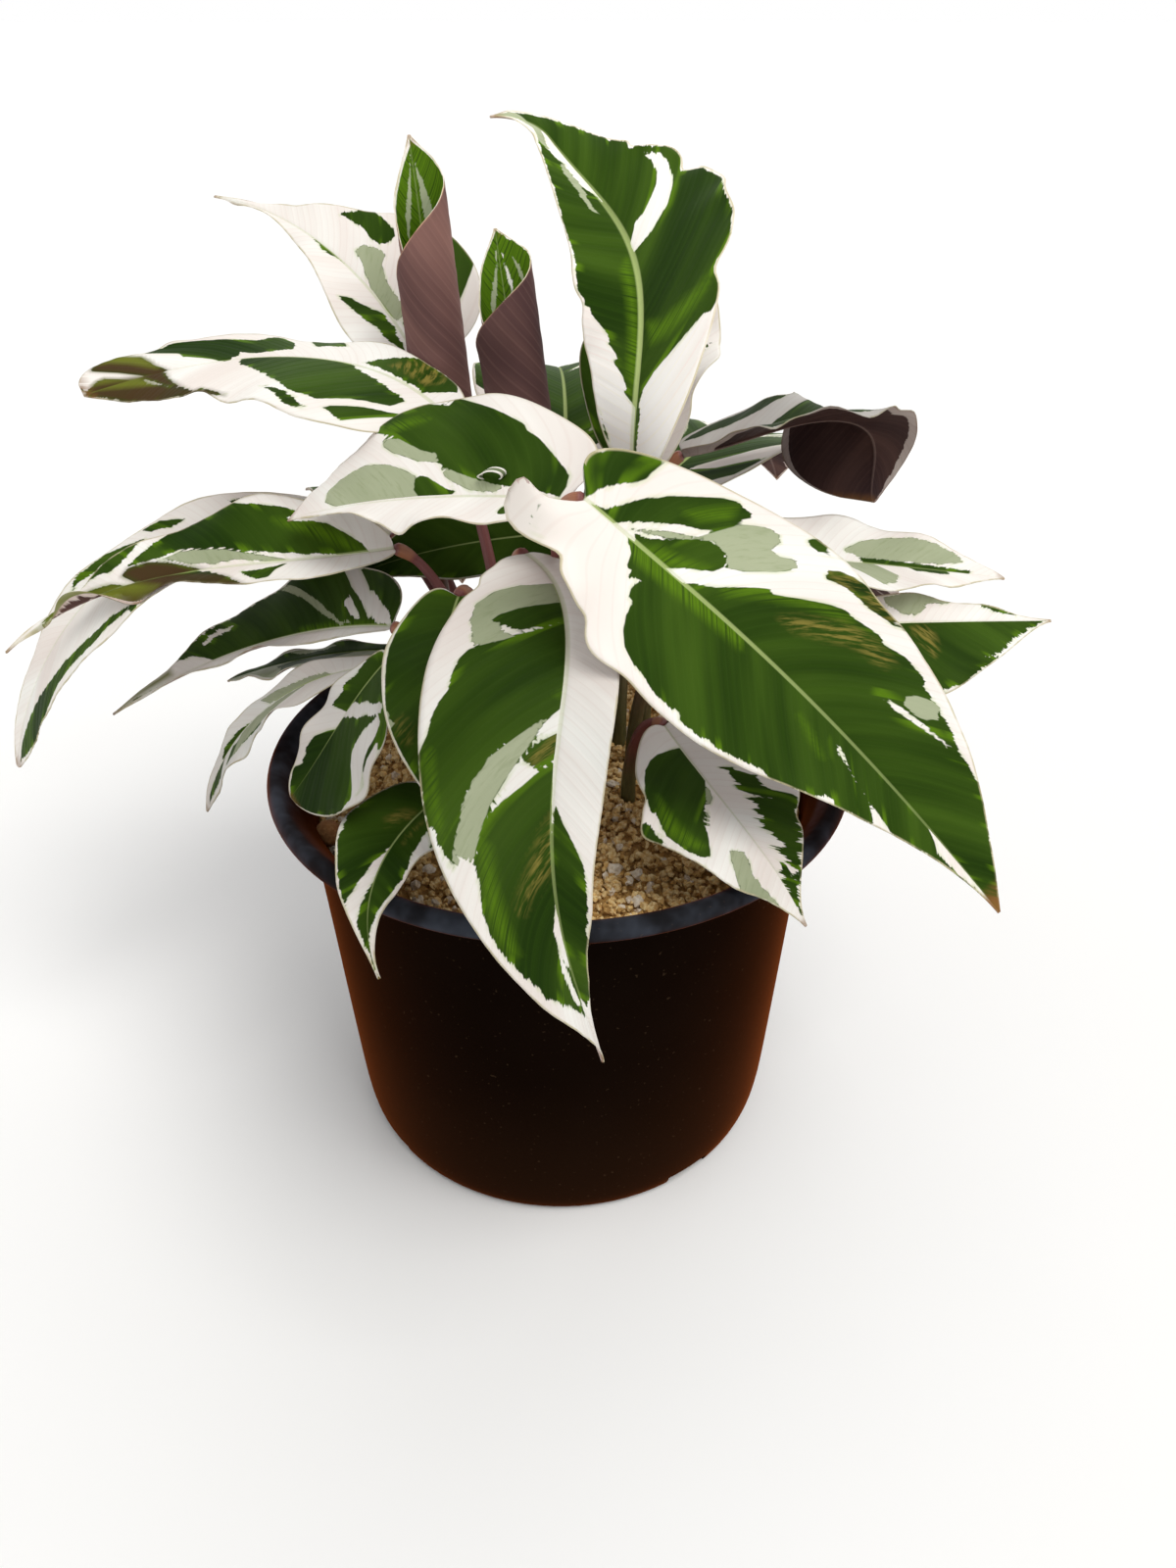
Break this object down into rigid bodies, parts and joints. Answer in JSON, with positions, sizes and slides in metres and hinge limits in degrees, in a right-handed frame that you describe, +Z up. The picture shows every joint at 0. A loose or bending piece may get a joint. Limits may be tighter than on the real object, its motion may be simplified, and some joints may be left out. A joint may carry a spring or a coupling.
{
  "type": "potted calathea plant",
  "caption": "Bushy prayer plant with cream, grey-green and dark green marbled leaves on thin stalks, in a black nursery pot.",
  "frame": {"origin": "middle of the pot's base, on the surface that it stands on", "axes": "+Z up; the plant's front faces -Y and its right side is +X"},
  "size_m": [0.2944, 0.2746, 0.2596],
  "materials": {
    "pot_plastic": "satin",
    "potting_mix": "matte",
    "petiole": "satin",
    "marbled_leaf": "satin"
  },
  "bodies": {
    "root": {"pot": "pot_plastic", "soil": "potting_mix", "stem_front_right": "petiole", "leaf_front_right": "marbled_leaf", "stem_front": "petiole", "leaf_front": "marbled_leaf", "stem_centre_left": "petiole", "leaf_centre_left": "marbled_leaf", "stem_left": "petiole", "leaf_left": "marbled_leaf", "stem_far_left": "petiole", "leaf_far_left": "marbled_leaf", "stem_lower_left": "petiole", "leaf_lower_left": "marbled_leaf", "stem_low_left": "petiole", "leaf_low_left": "marbled_leaf", "stem_small_left": "petiole", "leaf_small_left": "marbled_leaf", "stem_rim_left": "petiole", "leaf_rim_left": "marbled_leaf", "stem_rim_front_left": "petiole", "leaf_rim_front_left": "marbled_leaf", "stem_inner_front": "petiole", "leaf_inner_front": "marbled_leaf", "stem_inner_left": "petiole", "leaf_inner_left": "marbled_leaf", "stem_rim_right": "petiole", "leaf_rim_right": "marbled_leaf", "stem_right_upper": "petiole", "leaf_right_upper": "marbled_leaf", "stem_right_lower": "petiole", "leaf_right_lower": "marbled_leaf", "stem_arched_right": "petiole", "leaf_arched_right": "marbled_leaf", "stem_tall": "petiole", "leaf_tall": "marbled_leaf", "stem_tall_rear": "petiole", "leaf_tall_rear": "marbled_leaf", "stem_upper_left": "petiole", "leaf_upper_left": "marbled_leaf", "stem_long_left": "petiole", "leaf_long_left": "marbled_leaf", "stem_furled_left": "petiole", "leaf_furled_left": "marbled_leaf", "stem_furled_right": "petiole", "leaf_furled_right": "marbled_leaf", "stem_back_right": "petiole", "leaf_back_right": "marbled_leaf", "stem_back": "petiole", "leaf_back": "marbled_leaf", "stem_back_left": "petiole", "leaf_back_left": "marbled_leaf", "stem_low_back": "petiole", "leaf_low_back": "marbled_leaf", "stem_low_back_right": "petiole", "leaf_low_back_right": "marbled_leaf"}
  },
  "joints": []
}
